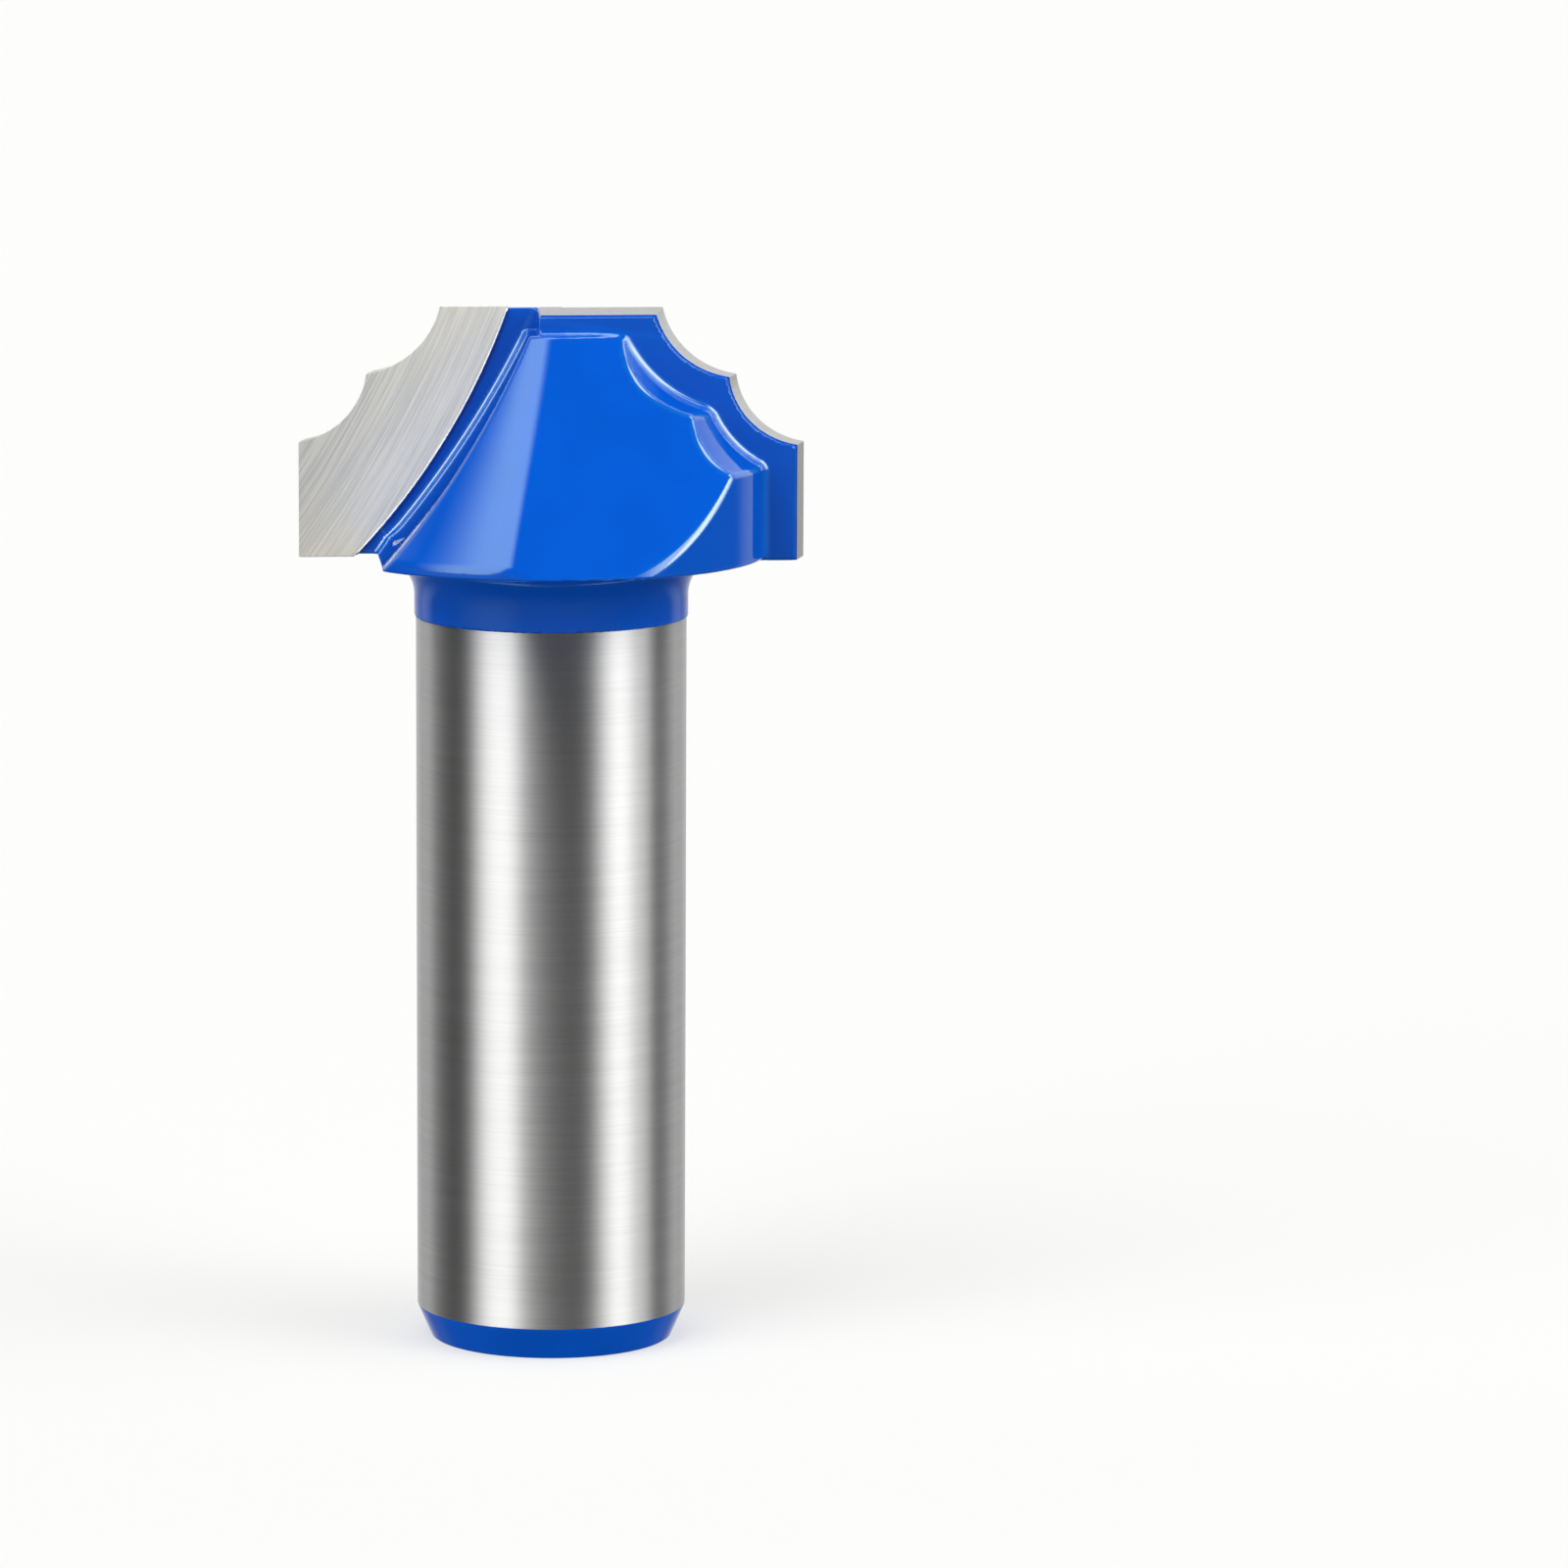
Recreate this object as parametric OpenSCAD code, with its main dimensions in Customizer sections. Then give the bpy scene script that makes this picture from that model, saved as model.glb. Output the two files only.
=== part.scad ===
// Double cove router bit standing on its shank, with the cutting end up.
// One steel body carries two carbide tips brazed into pockets half a turn apart.
// Heights are taken from the shank end, which lies on z = 0 with the axis on z.

/* [Shank] */
// Diameter of the ground shank
shank_d = 12.7; // [11.5:0.1:12.8]
// Height of the collar's lower edge above the shank end
shank_h = 34.4; // [25:0.1:50]
// Height of the chamfer on the shank end
chamfer_h = 1.5; // [0.5:0.1:3]
// Width of the chamfer on the shank end
chamfer_w = 0.64; // [0.2:0.02:1.5]

/* [Collar] */
// Amount by which the collar stands out from the shank
collar_step = 0.08; // [0.05:0.01:0.09]
// Rounding of the collar's lower edge
collar_round = 0.05; // [0.02:0.01:0.06]
// Height of the straight part of the collar
collar_h = 1; // [0.5:0.05:3]
// Radius of the flare that runs from the collar into the head
flare_r = 1.85; // [1:0.05:3]

/* [Cutting profile] */
// Diameter swept by the outer cutting corners
cutting_d = 23.64; // [22.8:0.02:24.4]
// Height of the cutting profile
cutting_h = 11.65; // [11.3:0.05:12]
// Radius of the upper cove
upper_cove_r = 4.02; // [3.8:0.01:4.2]
// Distance of the upper cove's centre from the axis
upper_cove_x = 9.28; // [9.1:0.02:9.5]
// Height of the upper cove's centre above the bottom of the head
upper_cove_z = 12.48; // [12.3:0.02:12.7]
// Radius of the lower cove
lower_cove_r = 3.65; // [3.5:0.01:3.8]
// Distance of the lower cove's centre from the axis
lower_cove_x = 12.41; // [12.2:0.02:12.6]
// Height of the lower cove's centre above the bottom of the head
lower_cove_z = 8.93; // [8.8:0.02:9.1]
// Angle of the relief ground behind the edges
side_relief = 16; // [8:1:20]
// Angle of the relief ground behind the top edge
end_relief = 8; // [4:1:12]

/* [Tips] */
// Thickness of a carbide tip
tip_t = 1.5; // [1.2:0.1:2]
// Distance of the cutting faces behind the axis
rake_offset = 0.4; // [0.3:0.05:0.6]
// Radius of the tips' curved inner edge
tip_edge_r = 32.35; // [32.2:0.05:32.5]
// Distance from the axis to the centre of that edge
tip_edge_x = 32.53; // [32.4:0.05:32.9]
// Height of the centre of that edge above the bottom of the head
tip_edge_z = 22.34; // [22:0.05:22.6]
// Reach of the long tip past the axis
long_reach = 0.6; // [0.2:0.05:0.6]
// Height of the part of the long tip that passes the axis
long_h = 2.5; // [1.5:0.1:4]

/* [Wings] */
// Thickness of the steel behind a tip
wing_t = 0.5; // [0.4:0.05:1.5]
// Setback of the steel from the cutting edges
setback = 0.06; // [0.05:0.01:0.2]
// Depth of the tips and wings below the underside of the core
tip_drop = 0.1; // [0.05:0.01:0.2]

/* [Gullets] */
// Radius of the curved gullet wall
wall_r = 46.9; // [46.8:0.05:47]
// Distance from the axis to the centre of the gullet wall
wall_x = 43.25; // [43.2:0.05:43.5]
// Height of the centre of the gullet wall above the bottom of the head
wall_z = 31.27; // [31.1:0.01:31.4]
// Fillet at the foot of the gullet wall
foot_r = 0.3; // [0.1:0.05:0.5]
// Depth of the gullet floor below the cutting face
floor_drop = 0.1; // [0.05:0.01:0.2]
// Lean of the gullet wall away from square to its floor
wall_lean = 1.5; // [0.5:0.1:4]

/* [Core] */
// Diameter of the core between the wings
core_d = 20.1; // [19.6:0.1:20.6]
// Height of the core above the bottom of the head
core_h = 10.5; // [10.3:0.05:11]
// Setback of the core from the upper cove
upper_gap = 1.9; // [1.5:0.05:2.1]
// Setback of the core from the lower cove
lower_gap = 1.65; // [1.3:0.05:1.8]
// Distance of the front flat from the axis at the bottom of the head
flat_reach = 9.78; // [9.5:0.02:9.95]
// Lean of the front flat from upright
flat_lean = 34.6; // [34:0.1:35.5]
// Turn of the front flat away from square to the cutting faces
flat_turn = 6; // [0:0.5:8]
// Radius of the cone beside the gullet at the bottom of the head
cone_low_r = 10.45; // [10.2:0.01:10.6]
// Radius of the cone beside the gullet at the top of the core
cone_top_r = 2.58; // [2.3:0.02:2.8]

/* [Hidden] */

shank_r = shank_d / 2;
collar_r = shank_r + collar_step;
flare_z = shank_h + collar_h;
head_z = flare_z + flare_r;
tip_top = head_z + cutting_h;
core_top = head_z + core_h;
core_r = core_d / 2;
// Corner distance measured along the cutting face
edge_x = sqrt(cutting_d * cutting_d / 4 - rake_offset * rake_offset);
back_y = rake_offset + tip_t + wing_t;
floor_y = rake_offset + floor_drop;
relief_cos = cos(side_relief);
relief_tan = tan(side_relief);
cone_slope = (cone_low_r - cone_top_r) / core_h;
// Amount by which the leaning wall starts inside the foot fillet, so that the two cross
lap = 0.004;
// Centre of the foot fillet and the point where the leaning wall starts
foot_x = wall_r + foot_r * tan(wall_lean) - foot_r / cos(wall_lean);
foot_z = foot_r - floor_y;
wall_foot_x = foot_x + foot_r * cos(wall_lean) - lap;
wall_foot_z = foot_z - foot_r * sin(wall_lean);
// Plate reach past the axis, more than the gullet walls leave
plate_reach = 2;
// Overlap that carries a cut clear of the surface it opens
clear = 1;
// Size of the blocks that stand for everything on one side of a plane
far = 40;
// Facets of round shapes in meshes
$fn = 160;

// Distance along the cutting face, foreshortened to the plane square to the relief
function drawn(x) = (x + rake_offset * relief_tan) * relief_cos;

// Cutting profile from the plate's inner end outwards, set back by the given amount
module profile(back) {
    difference() {
        translate([-plate_reach, head_z - clear])
            square([plate_reach + drawn(edge_x) - back, cutting_h + clear - back]);
        translate([drawn(upper_cove_x), head_z + upper_cove_z])
            circle(r = upper_cove_r + back);
        translate([drawn(lower_cove_x), head_z + lower_cove_z])
            circle(r = lower_cove_r + back);
    }
}

// Plate of the profile between two planes behind and before the axis, relieved on its edges
module plate(back, y_low, y_high) {
    difference() {
        rotate([90, 0, -side_relief])
            translate([0, 0, -far / 4])
                linear_extrude(height = far / 2)
                    profile(back);
        translate([-far, y_high, 0])
            cube([2 * far, far, 2 * far]);
        translate([-far, y_low - far, 0])
            cube([2 * far, far, 2 * far]);
        translate([-far, -far, head_z - tip_drop - far])
            cube([2 * far, 2 * far, far]);
        translate([0, -rake_offset - back, tip_top - back])
            rotate([end_relief, 0, 0])
                translate([-far, -far, 0])
                    cube([2 * far, 2 * far, far]);
    }
}

// Everything inside a round drum whose axis lies across the bit
module drum(x, z, r, low, high) {
    translate([x, high, head_z + z])
        rotate([90, 0, 0])
            cylinder(r = r, h = high - low, $fn = 4 * $fn);
}

// Carbide blank on the right hand wing, with its cutting face turned away from the front
module tip(reach) {
    intersection() {
        plate(0, -rake_offset - tip_t, -rake_offset);
        union() {
            drum(tip_edge_x, tip_edge_z, tip_edge_r, -far / 4, far / 4);
            if (reach > 0)
                translate([-reach, -far / 2, tip_top - long_h])
                    cube([edge_x / 2, far, far]);
        }
    }
}

// Gullet before the left hand cutting face, cut by a broad disc with a rounded rim
module gullet() {
    translate([-wall_x, 0, head_z + wall_z])
        rotate([90, 0, 0])
            rotate_extrude($fn = 4 * $fn) {
                polygon([
                    [0, -floor_y],
                    [foot_x, -floor_y],
                    [wall_foot_x, wall_foot_z],
                    [wall_foot_x + far / 2 * tan(wall_lean), wall_foot_z + far / 2],
                    [0, wall_foot_z + far / 2]
                ]);
                translate([foot_x, foot_z])
                    circle(r = foot_r, $fn = 64);
            }
}

// Turned shape of the shank, collar, flare and core
module turned() {
    rotate_extrude() {
        difference() {
            union() {
                polygon([
                    [0, 0],
                    [shank_r - chamfer_w, 0],
                    [shank_r, chamfer_h],
                    [shank_r, flare_z],
                    [0, flare_z]
                ]);
                translate([0, shank_h + collar_round])
                    square([collar_r, collar_h + flare_r]);
                translate([0, shank_h])
                    square([collar_r - collar_round, collar_h]);
                translate([collar_r - collar_round, shank_h + collar_round])
                    circle(r = collar_round, $fn = 48);
                translate([0, flare_z])
                    square([collar_r + flare_r, flare_r]);
                translate([0, head_z])
                    square([core_r, core_h]);
            }
            translate([collar_r + flare_r, flare_z])
                circle(r = flare_r);
            translate([upper_cove_x, head_z + upper_cove_z])
                circle(r = upper_cove_r + upper_gap);
            translate([lower_cove_x, head_z + lower_cove_z])
                circle(r = lower_cove_r + lower_gap);
        }
    }
}

// Stock outside the cone, on the gullet side of the front
module cone_cut() {
    difference() {
        translate([-far / 2, -far / 2, head_z])
            cube([far / 2, far / 2, core_h + clear]);
        translate([0, 0, head_z - clear])
            cylinder(
                r1 = cone_low_r + clear * cone_slope,
                r2 = cone_top_r - 2 * clear * cone_slope,
                h = core_h + 3 * clear
            );
    }
}

// Stock before the leaning front flat
module flat_cut() {
    rotate([0, 0, flat_turn])
        translate([0, -flat_reach, head_z])
            rotate([-flat_lean, 0, 0])
                translate([-far / 2, -far, -far / 2])
                    cube([far, far, far]);
}

// Steel body, painted but for the ground shank
module body() {
    color("royalblue")
    difference() {
        union() {
            difference() {
                turned();
                for (turn = [0, 180])
                    rotate([0, 0, turn]) {
                        cone_cut();
                        flat_cut();
                    }
            }
            for (turn = [0, 180])
                rotate([0, 0, turn])
                    plate(setback, -back_y, rake_offset);
        }
        for (turn = [0, 180])
            rotate([0, 0, turn])
                gullet();
        tip(long_reach);
        rotate([0, 0, 180])
            tip(0);
    }
}

// Carbide tip that cuts across the axis
module long_tip() {
    color("silver")
    tip(long_reach);
}

// Carbide tip that stops short of the axis
module short_tip() {
    color("silver")
    rotate([0, 0, 180])
        tip(0);
}

body();
long_tip();
short_tip();
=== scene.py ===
from math import atan2, cos, degrees, hypot, pi, radians, sin, sqrt, tan

import bpy
import numpy as np
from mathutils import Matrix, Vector


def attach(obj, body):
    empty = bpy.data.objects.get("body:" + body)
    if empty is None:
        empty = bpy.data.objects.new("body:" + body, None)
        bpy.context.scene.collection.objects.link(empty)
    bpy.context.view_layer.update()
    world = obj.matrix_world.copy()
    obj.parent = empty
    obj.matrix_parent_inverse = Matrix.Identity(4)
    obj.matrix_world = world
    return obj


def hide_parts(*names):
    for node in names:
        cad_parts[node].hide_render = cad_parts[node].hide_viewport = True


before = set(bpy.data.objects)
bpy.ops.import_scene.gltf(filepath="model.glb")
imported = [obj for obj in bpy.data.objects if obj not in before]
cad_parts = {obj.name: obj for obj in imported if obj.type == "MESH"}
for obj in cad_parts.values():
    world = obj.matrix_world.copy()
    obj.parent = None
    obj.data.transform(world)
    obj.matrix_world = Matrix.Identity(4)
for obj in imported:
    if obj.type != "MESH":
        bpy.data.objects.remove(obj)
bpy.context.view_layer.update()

# Body
# Turned and milled steel: a ground shank under a head with two wings, two gullets and a core
# between them. The head, the collar and the chamfered shank end are dipped in glossy blue paint,
# which rounds the edges, fills the inner corners and dries glossier where it draws together. There
# it is also painted a lighter blue, a painted highlight for the bright lines along the edges.
MM = 0.001
SHANK_R, CHAMFER_H, CHAMFER_W = 6.35, 1.5, 0.64
COLLAR_R, COLLAR_Z, FLARE_R = 6.43, 34.4, 1.85
HEAD_Z, TOP_Z, CORE_TOP, CORE_R = 37.25, 48.9, 47.75, 10.05
RAKE, TIP_T, BACK_Y, SETBACK, DROP = 0.4, 1.5, 2.1, 0.06, 0.1
EDGE_X = sqrt(11.82 ** 2 - RAKE ** 2)
SIDE_RELIEF, END_RELIEF = radians(16), radians(8)
COVES = ((9.28, HEAD_Z + 12.48, 4.02), (12.41, HEAD_Z + 8.93, 3.65))
CORE_GAPS = (1.7, 1.48)
WALL_X, WALL_Z, WALL_R, WALL_LEAN = 43.25, HEAD_Z + 31.27, 46.95, radians(0.3)
FLOOR_Y, FOOT_R = 0.5, 0.2
CONE_R, CONE_SLOPE = 10.45, (10.45 - 2.58) / 10.5
FLAT_REACH, FLAT_LEAN, FLAT_TURN = 9.78, radians(34.6), radians(6)
TIP_EDGE_X, TIP_EDGE_Z, TIP_EDGE_R = 32.53, HEAD_Z + 22.34, 32.35
LONG_REACH, LONG_H = 0.6, 2.5
# Radii at which the paint rounds the core's coves and top, the gullets' rims and the underside,
# and at which it fills the corners along the wings
COVE_ROUND, TOP_ROUND, RIM_ROUND, FOOT_ROUND, WING_FILL = 0.18, 0.2, 0.12, 0.15, 0.3
# Depth by which the tips sink into the walls of their pockets, and reach of the steel behind the
# long tip past its end
SUNK, PAST_TIP = 0.1, 0.1


def both(a, b, r):
    """Distance to what two shapes share, with the edge between them rounded to radius r."""
    corner = np.sqrt(np.maximum(a + r, 0) ** 2 + np.maximum(b + r, 0) ** 2)
    return np.minimum(-r, np.maximum(a, b)) + corner


def either(a, b, r):
    """Distance to two shapes joined, with the inner corner between them filled to radius r."""
    return -both(-a, -b, r)


def drawn(x):
    """Distance along the cutting face, foreshortened to the plane square to the relief."""
    return (x + RAKE * tan(SIDE_RELIEF)) * cos(SIDE_RELIEF)


def wing_field(x, y, z):
    """Distance to the right hand wing: the cutting profile swept along the relief, cut to a plate."""
    u = x * cos(SIDE_RELIEF) - y * sin(SIDE_RELIEF)
    rim = u - drawn(EDGE_X) + SETBACK
    for cove_x, cove_z, cove_r in COVES:
        rim = both(rim, cove_r + SETBACK - np.hypot(u - drawn(cove_x), z - cove_z), 0.06)
    rim = both(rim, z - TOP_Z + SETBACK, 0.05)
    slope = (z - TOP_Z + SETBACK) * cos(END_RELIEF) - (y + RAKE) * sin(END_RELIEF)
    rim = np.maximum(rim, slope)
    rim = both(rim, -np.maximum(CORE_TOP - z, x + LONG_REACH + PAST_TIP), 0.05)
    return both(both(rim, -BACK_Y - y, 0.04), y - RAKE, 0.05)


def wall_field(x, y, z):
    """Distance outside the broad disc that mills the left hand gullet, with its leaning rim."""
    wall = np.hypot(x + WALL_X, z - WALL_Z) - WALL_R - (FLOOR_Y - y) * tan(WALL_LEAN)
    return wall * cos(WALL_LEAN)


def body_field(x, y, z):
    """Distance to the painted head and collar, negative inside the steel, in millimetres."""
    # Turned core with its two coves, joined to the wings
    r = np.hypot(x, y)
    core = r - CORE_R
    for (cove_x, cove_z, cove_r), gap in zip(COVES, CORE_GAPS):
        core = both(core, cove_r + gap - np.hypot(r - cove_x, z - cove_z), COVE_ROUND)
    core = both(core, z - CORE_TOP, TOP_ROUND)
    wings = np.minimum(wing_field(x, y, z), wing_field(-x, -y, z))
    field = either(core, wings, WING_FILL)

    # Leaning flat across the core's front, and the cone beside it, which ends at the axis
    for side in (1, -1):
        sx, sy = side * x, side * y
        flat = (sx * sin(FLAT_TURN) - sy * cos(FLAT_TURN) - FLAT_REACH) * cos(FLAT_LEAN)
        flat = flat + (z - HEAD_Z) * sin(FLAT_LEAN)
        flat_round = 0.1 + 0.006 * np.clip(CORE_TOP - z, 0, 10)
        field = both(field, either(flat, wings, 0.05), flat_round)
        cone = (r - CONE_R + (z - HEAD_Z) * CONE_SLOPE) / sqrt(1 + CONE_SLOPE ** 2)
        cone = np.minimum(cone - 0.8 * np.maximum(sx, 0), -sy)
        field = both(field, either(cone, wings, 0.15), RIM_ROUND)

    # Gullets, and the step over the core beside them
    for side in (1, -1):
        sx, sy = side * x, side * y
        gullet = both(wall_field(sx, sy, z), sy - FLOOR_Y, FOOT_R)
        field = both(field, -gullet, RIM_ROUND)
        gap = np.maximum(CORE_TOP - z, np.maximum(sx + LONG_REACH + PAST_TIP, sy - FLOOR_Y))
        field = both(field, -gap, 0.08)

    # Underside of the head, flare and collar
    field = both(field, HEAD_Z - np.clip(core, 0, DROP) - z, FOOT_ROUND)
    field = either(field, np.maximum(r - COLLAR_R, z - HEAD_Z + 0.35), FLARE_R)
    field = both(field, COLLAR_Z - z, 0.05)

    # Pockets for the tips, of which the long one's runs on across the axis
    for side in (1, -1):
        sx, sy = side * x, side * y
        pocket = np.hypot(sx - TIP_EDGE_X, z - TIP_EDGE_Z) - TIP_EDGE_R + SUNK
        pocket = np.maximum(pocket, np.maximum(SUNK - RAKE - TIP_T - sy, sy - RAKE + SUNK))
        field = np.maximum(field, -pocket)
    across = np.maximum(SUNK - LONG_REACH - x, TOP_Z - LONG_H + SUNK - z)
    depth = np.abs(y + RAKE + TIP_T / 2) - TIP_T / 2 + SUNK
    across = np.maximum(np.maximum(across, x - EDGE_X / 2), depth)
    return np.maximum(field, -across)


def surface_net(field, low, high, step):
    """Vertices and quads of a field's zero surface: one vertex for each grid cell that it crosses,
    at the mean of its crossings of the cell's edges, and one quad round each crossed grid edge."""
    axes = [np.arange(a, b + step, step) for a, b in zip(low, high)]
    shape = [len(a) for a in axes]
    values = np.empty(shape, np.float32)
    layers = 12
    for k in range(0, shape[2], layers):
        part = np.meshgrid(axes[0], axes[1], axes[2][k:k + layers], indexing="ij")
        values[:, :, k:k + layers] = field(*[a.astype(np.float32) for a in part])
    inside = values < 0
    count = sum(
        inside[i:shape[0] - 1 + i, j:shape[1] - 1 + j, k:shape[2] - 1 + k].astype(np.int8)
        for i in (0, 1) for j in (0, 1) for k in (0, 1)
    )
    crossed = (count > 0) & (count < 8)
    index = np.full(crossed.shape, -1, np.int32)
    index[crossed] = np.arange(crossed.sum())
    cells = np.argwhere(crossed)
    total, hits = np.zeros((len(cells), 3)), np.zeros((len(cells), 1))
    quads = []
    for axis in range(3):
        side_a, side_b = (axis + 1) % 3, (axis + 2) % 3
        for a, b in ((0, 0), (0, 1), (1, 0), (1, 1)):
            start = np.zeros(3, int)
            start[side_a], start[side_b] = a, b
            end = start.copy()
            end[axis] = 1
            v0 = values[tuple((cells + start).T)]
            v1 = values[tuple((cells + end).T)]
            hit = (v0 < 0) != (v1 < 0)
            place = np.tile(start.astype(float), (len(cells), 1))
            place[:, axis] = v0 / np.where(hit, v0 - v1, 1)
            total += place * hit[:, None]
            hits += hit[:, None]
        first = [slice(None)] * 3
        last = [slice(None)] * 3
        first[axis], last[axis] = slice(0, -1), slice(1, None)
        edges = np.argwhere(inside[tuple(first)] != inside[tuple(last)])
        leaves = inside[tuple(edges.T)]
        ring = []
        for a, b in ((-1, -1), (0, -1), (0, 0), (-1, 0)):
            cell = edges.copy()
            cell[:, side_a] += a
            cell[:, side_b] += b
            ring.append(index[tuple(cell.T)])
        ring = np.stack(ring, 1)
        ring[~leaves] = ring[~leaves][:, ::-1]
        quads.append(ring)
    return (cells + total / hits) * step + np.array(low), np.concatenate(quads)


def slope_of(field, points):
    """Gradient of a field by the difference over a few microns each way."""
    gap = 0.004
    columns = []
    for axis in np.eye(3) * gap:
        columns.append((field(*(points + axis).T) - field(*(points - axis).T)) / (2 * gap))
    return np.stack(columns, 1)


def bend_of(field, points):
    """Sum of a surface's two curvatures per millimetre: the Laplacian of its distance field."""
    gap = 0.03
    total = -6 * field(*points.T)
    for axis in np.eye(3) * gap:
        total += field(*(points + axis).T) + field(*(points - axis).T)
    return total / gap ** 2


def settle(field, points, step):
    """Moves points down the gradient until they lie on the field's zero surface."""
    for _ in range(4):
        slope = slope_of(field, points)
        move = field(*points.T)[:, None] * slope / np.maximum((slope ** 2).sum(1), 0.2)[:, None]
        length = np.linalg.norm(move, axis=1, keepdims=True)
        points = points - move * np.minimum(1, step / 2 / np.maximum(length, 1e-9))
    return points


def ring_quads(rings, count):
    """Quads between neighbouring rings, each of so many points numbered in turn."""
    here = np.arange(count)
    after = (here + 1) % count
    quads = [
        np.stack([here, after, count + after, count + here], 1) + k * count
        for k in range(rings - 1)
    ]
    return np.concatenate(quads).tolist()


def lathe(profile, count):
    """Closed shell of a profile of (radius, height) pairs turned round the z axis: rings of
    equal steps joined by quads, with a fan to a centre point at each end."""
    profile = np.array(profile, float)
    angle = np.arange(count) * 2 * pi / count
    ring = np.stack([np.cos(angle), np.sin(angle)], 1)
    rows = [np.c_[r * ring, np.full(count, z)] for r, z in profile]
    points = np.concatenate(rows + [[[0, 0, profile[0, 1]], [0, 0, profile[-1, 1]]]])
    here = np.arange(count)
    after = (here + 1) % count
    base, top = len(points) - 2, len(points) - 1
    last = (len(profile) - 1) * count
    fans = [[base, b, a] for a, b in zip(here, after)]
    fans += [[top, last + a, last + b] for a, b in zip(here, after)]
    return points, ring_quads(len(profile), count) + fans


def new_object(name, points, faces):
    """Mesh object from millimetre points and lists of corner numbers."""
    mesh = bpy.data.meshes.new(name)
    mesh.from_pydata((np.asarray(points) * MM).tolist(), [], faces)
    mesh.validate()
    mesh.update()
    obj = bpy.data.objects.new(name, mesh)
    bpy.context.scene.collection.objects.link(obj)
    return obj


# Box round the painted head and the size of its grid's cells
NET_LOW, NET_HIGH, NET_STEP = (-11.46, -10.13, 34.21), (11.46, 10.13, 49.06), 0.125
head_points, head_faces = surface_net(body_field, NET_LOW, NET_HIGH, NET_STEP)
head_points = settle(body_field, head_points, NET_STEP)
head_slope = slope_of(body_field, head_points)

shank_profile = [
    (SHANK_R - CHAMFER_W - 0.05, 0), (SHANK_R - CHAMFER_W + 0.01, 0.05),
    (SHANK_R - 0.03, CHAMFER_H - 0.07), (SHANK_R, CHAMFER_H + 0.03),
    (SHANK_R, COLLAR_Z + 0.3),
]
shank_points, shank_faces = lathe(shank_profile, 256)
shank_faces = [[v + len(head_points) for v in face] for face in shank_faces]

body = new_object(
    "painted_body", np.concatenate([head_points, shank_points]),
    head_faces.tolist() + shank_faces,
)
ring = np.c_[shank_points[:, :2], np.zeros(len(shank_points))]
ring /= np.maximum(np.linalg.norm(ring, axis=1, keepdims=True), 1e-9)
normals = np.concatenate([head_slope, ring])
normals /= np.maximum(np.linalg.norm(normals, axis=1, keepdims=True), 1e-9)
body.data.shade_smooth()

# Share of pooled paint at each point, by how sharply the surface bends there and by its height.
# It makes the paint glossier and paints it a lighter blue: a painted highlight along the bends.
# The ridge between flat and cone and the wings' back edges stay thin, and the core's front has less.
BENDS, HEIGHTS = (0.6, 1.4, 11, 15), (37.3, 37.8, 47.1, 47.5)
RIDGE, EDGE_BAND, CORE_SHARE = 0.6, 0.3, 0.55
bend = np.abs(bend_of(body_field, head_points))
height = head_points[:, 2]
pooled_gloss_and_highlight = np.interp(bend, BENDS, (0, 1, 1, 0))
pooled_gloss_and_highlight *= np.interp(height, HEIGHTS, (0.3, 1, 1, 0.4))
for side in (1, -1):
    x, y = side * head_points[:, 0], side * head_points[:, 1]
    pooled_gloss_and_highlight[(x < RIDGE) & (y < -RIDGE)] = 0
    pooled_gloss_and_highlight[y < -BACK_Y] *= CORE_SHARE
    pooled_gloss_and_highlight[(y > -BACK_Y - 0.01) & (y < -BACK_Y + EDGE_BAND)] = 0
values = np.zeros(len(normals), np.float32)
values[:len(head_points)] = pooled_gloss_and_highlight
body.data.attributes.new("pooled_gloss_and_highlight", "FLOAT", "POINT").data.foreach_set("value", values)

# Normals from the field and the turned shape, but flat on the shank's two ends
corner_vertex = np.empty(len(body.data.loops), np.int32)
body.data.loops.foreach_get("vertex_index", corner_vertex)
corner_normals = normals[corner_vertex]
face_count = len(body.data.polygons)
face_start = np.empty(face_count, np.int32)
face_size = np.empty(face_count, np.int32)
face_middle = np.empty(face_count * 3)
face_normal = np.empty(face_count * 3)
body.data.polygons.foreach_get("loop_start", face_start)
body.data.polygons.foreach_get("loop_total", face_size)
body.data.polygons.foreach_get("center", face_middle)
body.data.polygons.foreach_get("normal", face_normal)
face_middle = face_middle.reshape(-1, 3) / MM
face_normal = face_normal.reshape(-1, 3)
corner_face = np.repeat(np.arange(face_count), face_size)
on_shank = corner_vertex >= len(head_points)
level = on_shank & (np.abs(face_normal[corner_face, 2]) > 0.2)
corner_normals[level] = face_normal[corner_face[level]]
body.data.normals_split_custom_set(corner_normals.tolist())

# The shank stays bare between its chamfer and the collar
STEEL, PAINT = 1, 0
is_shank = np.arange(face_count) >= len(head_faces)
painted = ~is_shank | (face_middle[:, 2] < CHAMFER_H)
body.data.polygons.foreach_set(
    "material_index", np.where(painted, PAINT, STEEL).astype(np.int32)
)


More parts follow.
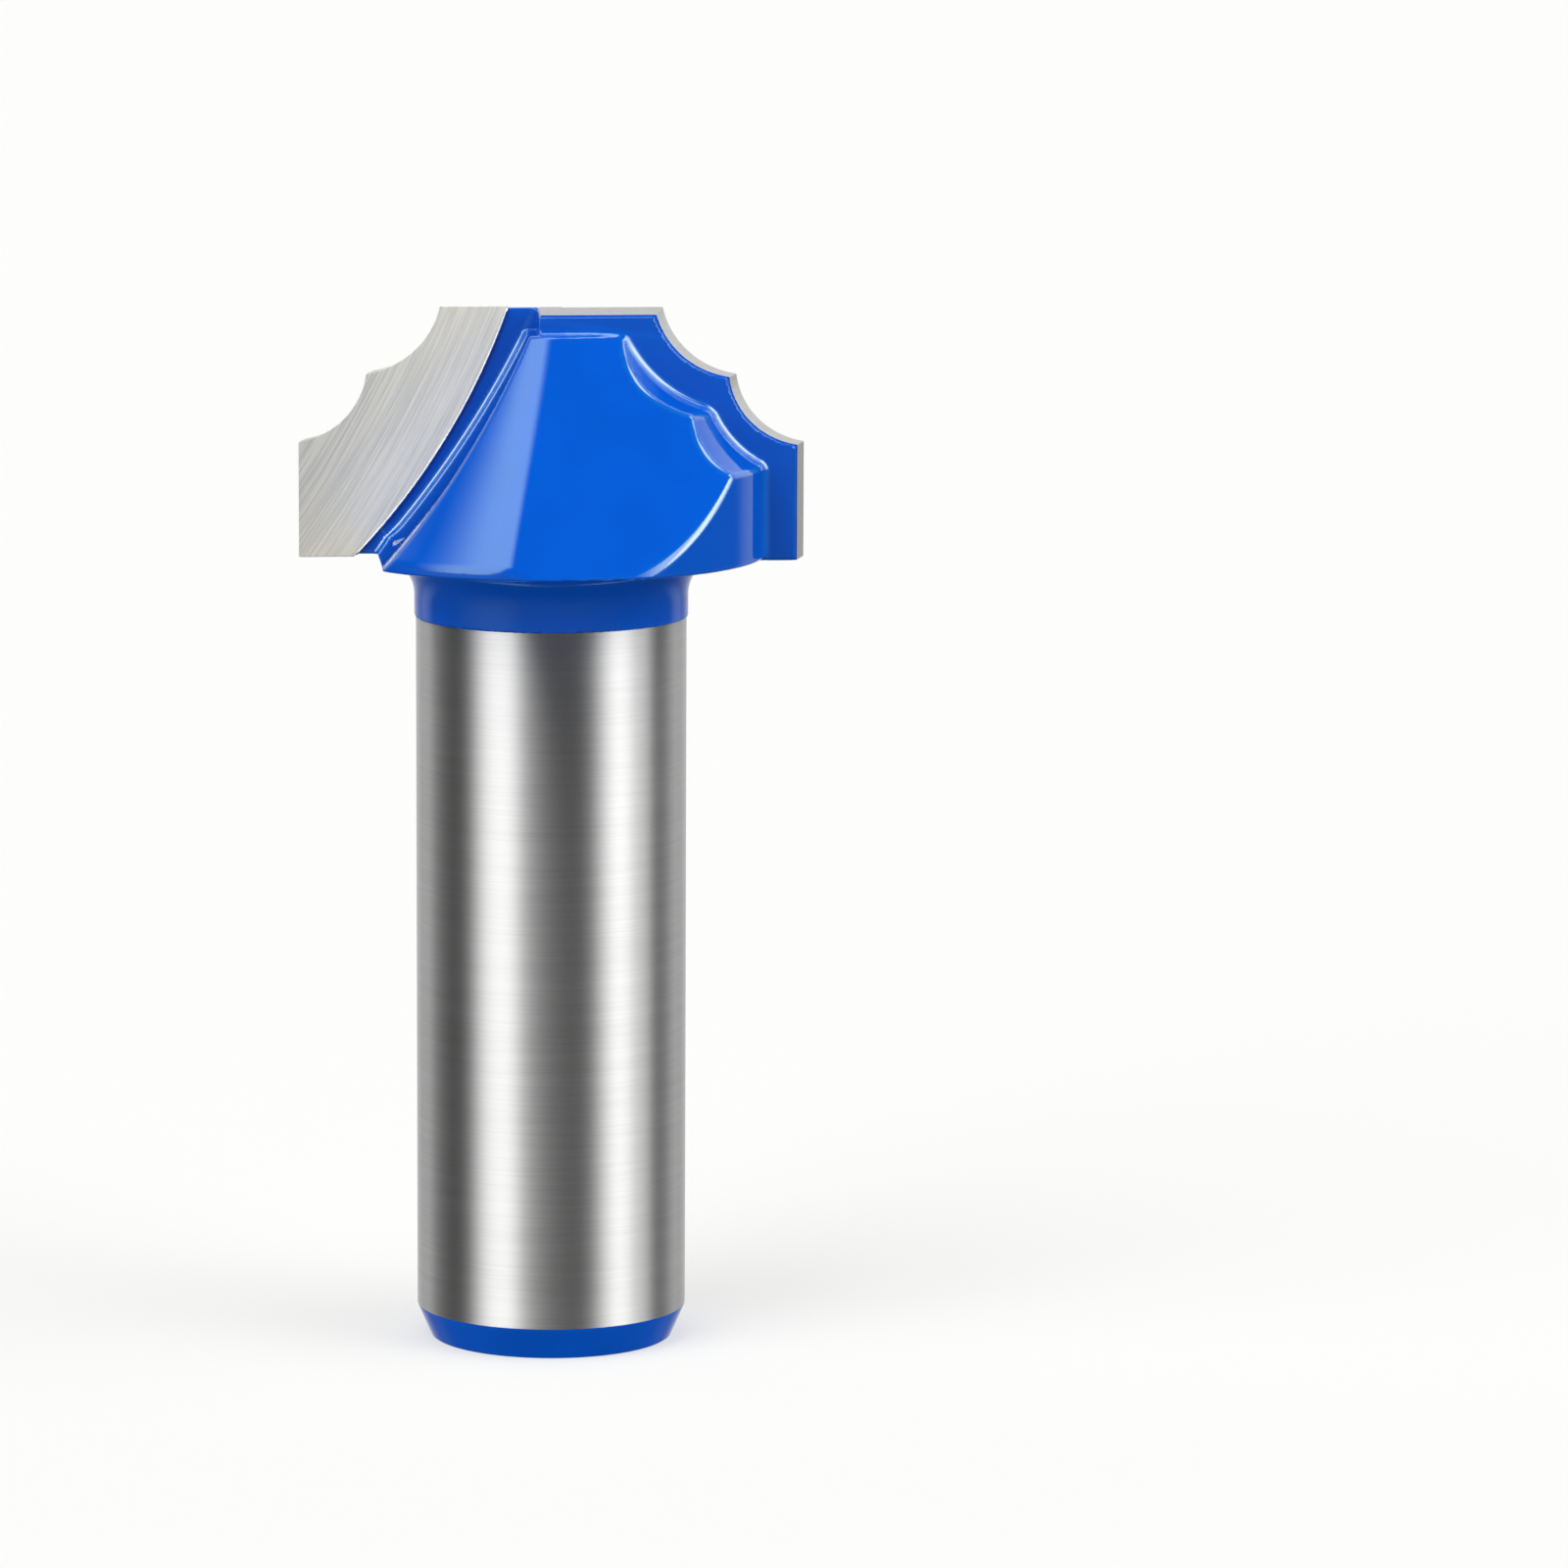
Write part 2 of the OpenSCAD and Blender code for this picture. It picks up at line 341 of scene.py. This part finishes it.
class Signal:
    """A socket in a material's node tree. Python's operators combine signals and numbers."""

    def __init__(self, tree, socket):
        self.tree = tree
        self.socket = socket

    def node(self, kind, inputs, output=0, **settings):
        """Adds any node, fills its inputs by name or number and gives back one output."""
        made = self.tree.nodes.new(kind)
        for key, value in settings.items():
            setattr(made, key, value)
        for key, value in inputs.items():
            if isinstance(value, Signal):
                self.tree.links.new(value.socket, made.inputs[key])
            else:
                made.inputs[key].default_value = value
        return Signal(self.tree, made.outputs[output])

    def math(self, operation, *others):
        """Math node of this signal and up to two more values."""
        inputs = dict(enumerate((self,) + others))
        return self.node("ShaderNodeMath", inputs, operation=operation)

    def __add__(self, other):
        return self.math("ADD", other)

    def __sub__(self, other):
        return self.math("SUBTRACT", other)

    def __mul__(self, other):
        return self.math("MULTIPLY", other)

    def dot(self, direction):
        """Dot product of this vector signal and a fixed direction."""
        inputs = {0: self, 1: direction}
        return self.node("ShaderNodeVectorMath", inputs, output=1, operation="DOT_PRODUCT")

    def stretch(self, x, y, z):
        """Vector signal with each axis scaled by its own factor."""
        inputs = {0: self, 1: (x, y, z)}
        return self.node("ShaderNodeVectorMath", inputs, operation="MULTIPLY")

    def noise(self, scale, detail=2.0, roughness=0.5):
        """Noise of this vector signal, from 0 to 1."""
        inputs = {"Vector": self, "Scale": scale, "Detail": detail, "Roughness": roughness}
        return self.node("ShaderNodeTexNoise", inputs)

    def remap(self, low, high, new_low, new_high):
        """Carries a range of this signal smoothly over to another, without overshoot."""
        inputs = {"Value": self, 1: low, 2: high, 3: new_low, 4: new_high}
        return self.node("ShaderNodeMapRange", inputs, interpolation_type="SMOOTHSTEP")

    def blend(self, first, second):
        """Colour between two colours, by this signal."""
        inputs = {0: self, 6: first, 7: second}
        return self.node("ShaderNodeMix", inputs, output=2, data_type="RGBA")

    def bump(self, height):
        """Normal from this signal as a height field, with full range worth height metres."""
        inputs = {"Height": self, "Distance": height, "Strength": 1.0}
        return self.node("ShaderNodeBump", inputs)


def new_material(name, **constants):
    """Principled material with constant inputs set, and its object coordinates as a signal."""
    material = bpy.data.materials.new(name)
    material.use_nodes = True
    tree = material.node_tree
    shader = tree.nodes["Principled BSDF"]
    for key, value in constants.items():
        shader.inputs[key.replace("_", " ")].default_value = value
    coordinates = tree.nodes.new("ShaderNodeTexCoord")
    place = Signal(tree, coordinates.outputs["Object"]).stretch(1000, 1000, 1000)
    return material, place


def feed(material, **signals):
    """Joins signals to the named inputs of a material's shader."""
    tree = material.node_tree
    shader = tree.nodes["Principled BSDF"]
    for key, signal in signals.items():
        tree.links.new(signal.socket, shader.inputs[key.replace("_", " ")])


paint, place = new_material(
    "blue_paint", IOR=1.65, Specular_Tint=(0.7, 1.0, 0.8, 1), Coat_IOR=2.2, Coat_Roughness=0.03
)
cloud = place.noise(0.35, 3)
peel = place.noise(0.9, 2)
# Where the paint pools: a stronger coat, and a lighter blue that is a painted highlight
gloss_and_highlight_share = place.node("ShaderNodeAttribute", {}, output="Fac", attribute_name="pooled_gloss_and_highlight")
even = cloud.remap(0.3, 0.7, 0, 1).blend((0.0008, 0.083, 0.52, 1), (0.0012, 0.089, 0.555, 1))
feed(
    paint,
    Base_Color=gloss_and_highlight_share.blend(even, (0.0015, 0.15, 0.60, 1)),
    Coat_Weight=gloss_and_highlight_share,
    Roughness=place.noise(3, 3).remap(0.3, 0.7, 0.03, 0.05),
    Normal=peel.bump(0.0000015),
)

steel, place = new_material(
    "ground_steel", Metallic=1.0, Anisotropic=0.95, Anisotropic_Rotation=0.25
)
fine = place.stretch(0.22, 0.22, 16).noise(1, 3, 0.6)
broad = place.stretch(0.1, 0.1, 2.2).noise(1, 3, 0.6)
feed(
    steel,
    Base_Color=(fine * 0.6 + broad * 0.4).remap(0.35, 0.65, 0, 1).blend(
        (0.635, 0.635, 0.63, 1), (0.70, 0.70, 0.695, 1)
    ),
    Roughness=(fine * 0.5 + broad * 0.5).remap(0.35, 0.65, 0.42, 0.45),
    Normal=fine.bump(0.000002),
)
body.data.materials.append(paint)
body.data.materials.append(steel)
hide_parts("body")
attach(body, "root")

# Carbide tips
# Pressed and sintered tungsten carbide blanks, brazed into the pockets and then ground: the faces
# flat with a cup wheel, which leaves long slanting arcs, and the coves and edges with relief.


def tip_outline(y, reach):
    """Outline of a right hand tip at one depth, as (x, z) from the foot of the inner edge round
    by the top, the coves and the outer corner, with the outer part drawn in by the relief."""
    top = TOP_Z + (y + RAKE) * tan(END_RELIEF)
    foot = HEAD_Z - DROP
    (ux, uz, ur), (lx, lz, lr) = COVES
    ux, lx = drawn(ux), drawn(lx)

    def inner(z):
        return TIP_EDGE_X - sqrt(TIP_EDGE_R ** 2 - (z - TIP_EDGE_Z) ** 2)

    inner_top = TOP_Z - LONG_H if reach else top
    points = [(inner(z), z) for z in np.linspace(foot, inner_top, 60)]
    if reach:
        points += [(-reach, inner_top), (-reach, top)]
    gap = hypot(lx - ux, lz - uz)
    along = (gap ** 2 + ur ** 2 - lr ** 2) / (2 * gap)
    up = -sqrt(ur ** 2 - along ** 2)
    ex, ez = (lx - ux) / gap, (lz - uz) / gap
    notch = (ux + along * ex - up * ez, uz + along * ez + up * ex)
    end = drawn(EDGE_X)
    corner_z = lz - sqrt(lr ** 2 - (end - lx) ** 2)

    def arc(cx, cz, r, start, stop, count):
        a0 = atan2(start[1] - cz, start[0] - cx)
        a1 = atan2(stop[1] - cz, stop[0] - cx)
        a0 = a0 if a0 < 0 else a0 - 2 * pi
        a1 = a1 if a1 < 0 else a1 - 2 * pi
        return [(cx + r * cos(a), cz + r * sin(a)) for a in np.linspace(a0, a1, count)]

    start = (ux - sqrt(ur ** 2 - (top - uz) ** 2), top)
    outer = arc(ux, uz, ur, start, notch, 36)
    outer += arc(lx, lz, lr, notch, (end, corner_z), 36)[1:] + [(end, foot)]
    lean = y * sin(SIDE_RELIEF)
    return points + [((u + lean) / cos(SIDE_RELIEF), z) for u, z in outer]


EASED = 0.035


def make_tip(name, reach, turn, materials):
    """Solid between a tip's front and back outlines, with every edge eased a little. The materials
    are for the cutting face, the rim and the back, up to whose margin the paint runs."""
    rows = []
    for y in (-RAKE, -RAKE - TIP_T):
        rows += [(turn * x, turn * y, z) for x, z in tip_outline(y, reach)]
    n = len(rows) // 2
    faces = [[i, (i + 1) % n, n + (i + 1) % n, n + i] for i in range(n)]
    faces += [list(range(n))[::-1], list(range(n, 2 * n))]
    obj = new_object(name, rows, faces)
    obj.data.flip_normals()
    obj.data.shade_smooth()
    obj.data.set_sharp_from_angle(angle=radians(20))
    bevel = obj.modifiers.new("eased", "BEVEL")
    bevel.width = EASED * MM
    bevel.segments = 2
    bevel.limit_method = "ANGLE"
    bevel.angle_limit = radians(24)
    bevel.harden_normals = True
    for material in materials:
        obj.data.materials.append(material)
    obj.data.polygons.foreach_set("material_index", [1] * n + [0, 2])
    return obj


# Centre of the cup wheel's arcs
WHEEL_X, WHEEL_Z = 60.0, 72.0
carbide, place = new_material(
    "ground_carbide", Metallic=0.65, Anisotropic=0.8, Anisotropic_Rotation=0.93
)
parts = place.node("ShaderNodeSeparateXYZ", {0: place})
x_part, y_part, z_part = [Signal(place.tree, socket) for socket in parts.socket.node.outputs]
x_part = x_part.math("ABSOLUTE") * -1.0 + WHEEL_X
z_part = z_part - WHEEL_Z
across = (x_part * x_part + z_part * z_part).math("SQRT")
turned = z_part.math("ARCTAN2", x_part)
marks = place.node("ShaderNodeCombineXYZ", {0: across * 12, 1: turned * 10, 2: y_part})
marks = marks.noise(1, 4, 0.65)
wide = place.node("ShaderNodeCombineXYZ", {0: across * 1.5, 1: turned * 6, 2: y_part}).noise(1, 2)
# Painted sheen: each face is lighter across a band of distance from the wheel's centre
rise = across.remap(57.0, 61.0, 0, 1)
feed(
    carbide,
    Base_Color=((marks * 0.8 + wide * 0.2).remap(0.40, 0.60, 0, 0.5) + rise * 0.5).blend(
        (0.62, 0.61, 0.56, 1), (1.0, 0.97, 0.85, 1)
    ),
    Roughness=(marks * 0.5 + wide * 0.5).remap(0.3, 0.7, 0.55, 0.65),
    Normal=marks.bump(0.000006),
)
edge, place = new_material("ground_edge", Metallic=1.0)
lines = place.stretch(2, 2, 5).noise(1, 2)
feed(
    edge,
    Base_Color=lines.remap(0.3, 0.7, 0, 1).blend((0.55, 0.55, 0.55, 1), (0.63, 0.63, 0.625, 1)),
    Roughness=lines.remap(0.3, 0.7, 0.30, 0.36),
    Normal=lines.bump(0.000002),
)
for name, reach, turn in (("long_tip", LONG_REACH, 1), ("short_tip", 0, -1)):
    tip = make_tip("ground_" + name, reach, turn, (carbide, edge, paint))
    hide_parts(name)
    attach(tip, "root")

# Braze beads
# The silver alloy that holds each tip stands out as a fine bright bead along the inner edge of its
# cutting face, where it ran out of the joint when the tip was pressed home.
BEAD_R = 0.045


def tube(path, radius, count):
    """Closed tube of a given radius round a path in a plane square to y, with flat ends."""
    path = np.array(path)
    ahead = np.gradient(path, axis=0)
    ahead /= np.linalg.norm(ahead, axis=1, keepdims=True)
    side = np.cross(ahead, (0, 1, 0))
    angle = np.arange(count) * 2 * pi / count
    rings = path[:, None] + radius * (
        np.cos(angle)[:, None] * side[:, None] + np.sin(angle)[:, None] * np.array((0, 1, 0))
    )
    here = np.arange(count)
    ends = [here[::-1].tolist(), ((len(path) - 1) * count + here).tolist()]
    return rings.reshape(-1, 3), ring_quads(len(path), count) + ends


braze, place = new_material("silver_braze", Metallic=1.0)
flow = place.noise(5, 2)
feed(
    braze,
    Base_Color=flow.remap(0.3, 0.7, 0, 1).blend((0.80, 0.79, 0.74, 1), (0.92, 0.91, 0.87, 1)),
    Roughness=flow.remap(0.3, 0.7, 0.2, 0.34),
    Normal=flow.bump(0.000004),
)
for name, top, turn in (("long_tip", TOP_Z - LONG_H, 1), ("short_tip", TOP_Z - 0.1, -1)):
    path = []
    for z in np.linspace(HEAD_Z - DROP + 0.1, top, 60):
        x = TIP_EDGE_X - sqrt(TIP_EDGE_R ** 2 - (z - TIP_EDGE_Z) ** 2)
        path.append((turn * x, -turn * RAKE, z))
    bead = new_object("braze_" + name, *tube(path, BEAD_R, 12))
    bead.data.shade_smooth()
    bead.data.materials.append(braze)
    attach(bead, "root")

# Camera
# The photo's camera, found from the shank's edges and the rings round it. The bit stands a little
# left of the picture's middle, turned by three degrees.
TURN, PITCH = radians(3), radians(9.07)
DISTANCE, EYE_Z = 0.3755, 0.0863
PICTURE, FOCAL, AXIS_PX = 1600, 8246, 562.51
SENSOR = 36
camera_data = bpy.data.cameras.new("camera")
camera_data.sensor_width = SENSOR
camera_data.lens = FOCAL / PICTURE * SENSOR
camera_data.shift_x = (PICTURE / 2 - AXIS_PX) / PICTURE
camera = bpy.data.objects.new("camera", camera_data)
camera.location = (-DISTANCE * sin(TURN), -DISTANCE * cos(TURN), EYE_Z)
look = Vector((sin(TURN) * cos(PITCH), cos(TURN) * cos(PITCH), -sin(PITCH)))
camera.rotation_mode = "QUATERNION"
camera.rotation_quaternion = look.to_track_quat("-Z", "Y")
bpy.context.scene.collection.objects.link(camera)
bpy.context.scene.camera = camera

# Studio
# A white table and a light tent round it, painted in the world by direction: bright cloth behind
# the bit, a large softbox high on the left, a smaller one with a bright middle on the right and a
# lamp up behind that. They draw the bands on the shank and the bright lines in the paint.
REACH = 2000
floor = new_object(
    "floor", [(-REACH, -REACH, 0), (REACH, -REACH, 0), (REACH, REACH, 0), (-REACH, REACH, 0)],
    [[0, 1, 2, 3]],
)
table, place = new_material(
    "table", Base_Color=(0.76, 0.76, 0.755, 1), Roughness=1.0, Specular_IOR_Level=0.0
)
nodes = table.node_tree.nodes
seen = place.node("ShaderNodeLightPath", {}, output="Is Camera Ray")
surface = Signal(table.node_tree, nodes["Principled BSDF"].outputs[0])
glow = place.node("ShaderNodeEmission", {"Color": (0.965, 0.965, 0.955, 1), "Strength": 1.0})
half = seen.node("ShaderNodeMixShader", {0: 0.55, 1: surface, 2: glow})
clear = place.node("ShaderNodeBsdfTransparent", {})
mixed = seen.node("ShaderNodeMixShader", {0: seen, 1: clear, 2: half})
table.node_tree.links.new(mixed.socket, nodes["Material Output"].inputs["Surface"])
floor.data.materials.append(table)

world = bpy.data.worlds.new("studio")
bpy.context.scene.world = world
world.use_nodes = True
background = world.node_tree.nodes["Background"]
start = Signal(world.node_tree, background.outputs[0])
way = start.node("ShaderNodeTexCoord", {}, output="Generated")
parts = way.node("ShaderNodeSeparateXYZ", {0: way})
x_part, y_part, z_part = [
    Signal(world.node_tree, socket) for socket in parts.socket.node.outputs
]
azimuth = x_part.math("ARCTAN2", y_part * -1.0) * degrees(1) + degrees(TURN)
elevation = z_part.math("ARCSINE") * degrees(1)


def window(signal, rise, full, fall, gone):
    """1 where a signal lies between full and fall, easing down to 0 at rise and at gone."""
    return signal.remap(rise, full, 0, 1) * signal.remap(fall, gone, 1, 0)


def softbox(azimuth, elevation, across, upright, brightness):
    """Glow of a flat box square to a direction that is given in degrees from the camera's, with
    the slopes off that direction, across and upright, at which it rises and falls."""
    a, e = radians(azimuth) - TURN, radians(elevation)
    axis = Vector((sin(a) * cos(e), -cos(a) * cos(e), sin(e)))
    side = Vector((cos(a), sin(a), 0))
    ahead = way.dot(axis)
    u = way.dot(side).math("DIVIDE", ahead)
    v = way.dot(axis.cross(side)).math("DIVIDE", ahead)
    glow = window(u, *across) * window(v, *upright) * ahead.math("GREATER_THAN", 0.0)
    return glow * brightness


# Cloth behind the bit, its foot, a brighter strip of it on each side, the dim room in front and a
# low panel on the left
behind = azimuth.math("ABSOLUTE")
light = behind.remap(94, 132, 0, 1) * window(elevation, -5, 5, 40, 70) * 0.8 + 0.025
light = light + behind.remap(125, 175, 0, 0.7) * window(elevation, -40, -10, -5, 5)
light = light + window(behind, 116, 129, 133, 146) * window(elevation, -40, -10, -5, 5) * 0.4
light = light + window(elevation, -60, -20, 5, 40) * behind.remap(20, 75, 0.13, 0.05)
light = light + window(azimuth, -95, -55, -48, -18) * window(elevation, -60, -5, 0, 5) * 0.3

# What the table throws back, for diffuse rays alone, since the photo's paint mirrors no table
scattered = start.node("ShaderNodeLightPath", {}, output="Is Diffuse Ray")
light = light + scattered * elevation.remap(-30, -10, 1, 0) * behind.remap(20, 90, 0.3, 0.9)

# Softboxes: the large one, which is dimmer towards its far end, then the right one, its bright
# middle and the lamp behind
left = softbox(-50, 45, (-0.66, 0.00, 0.34, 0.54), (-1.32, -0.95, 1.2, 1.5), 3.15)
light = light + left * azimuth.remap(-95, -58, 0.6, 1.08)
for box in (
    (68, 22, (-0.62, -0.36, 0.34, 0.66), (-0.42, -0.28, 0.42, 0.56), 2.6),
    (63, 26, (-0.22, -0.14, 0.14, 0.22), (-0.36, -0.28, 0.28, 0.36), 3.0),
    (98, 56, (-0.18, -0.10, 0.10, 0.18), (-0.18, -0.10, 0.10, 0.18), 3.5),
):
    light = light + softbox(*box)

seen = start.node("ShaderNodeLightPath", {}, output="Is Camera Ray")
tone = seen.blend(light, (0.975, 0.975, 0.965, 1))
world.node_tree.links.new(tone.socket, background.inputs["Color"])
background.inputs["Strength"].default_value = 1.0

bpy.context.scene.view_settings.view_transform = "Standard"
